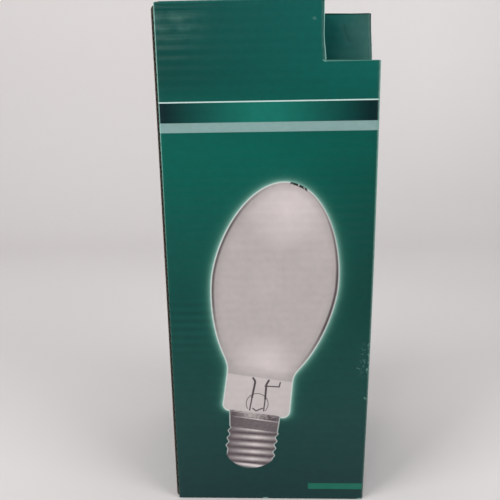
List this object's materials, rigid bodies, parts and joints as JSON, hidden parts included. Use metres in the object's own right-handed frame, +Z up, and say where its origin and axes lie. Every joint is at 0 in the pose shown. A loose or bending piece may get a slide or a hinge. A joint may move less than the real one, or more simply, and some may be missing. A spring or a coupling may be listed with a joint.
{
  "type": "corrugated lamp carton",
  "caption": "Tall square corrugated carton for one large lamp, green printed, with a pushed-in top front corner, glued side seam and a hinged tuck lid",
  "frame": {"origin": "middle of the footprint, on the surface that the carton stands on", "axes": "X to the right seen from the front panel, Y to the back, Z up"},
  "size_m": [0.098, 0.098, 0.2435],
  "materials": {
    "printed_board": "printed and varnished corrugated board"
  },
  "bodies": {
    "carton": {"carton": "printed_board"},
    "lid": {"top_lid": "printed_board"}
  },
  "joints": [
    {"name": "lid_hinge", "type": "hinge", "parent": "carton", "child": "lid", "pos_m": [0, -0.049, 0.2435], "axis": [1, 0, 0], "range_deg": [0, 180]}
  ]
}
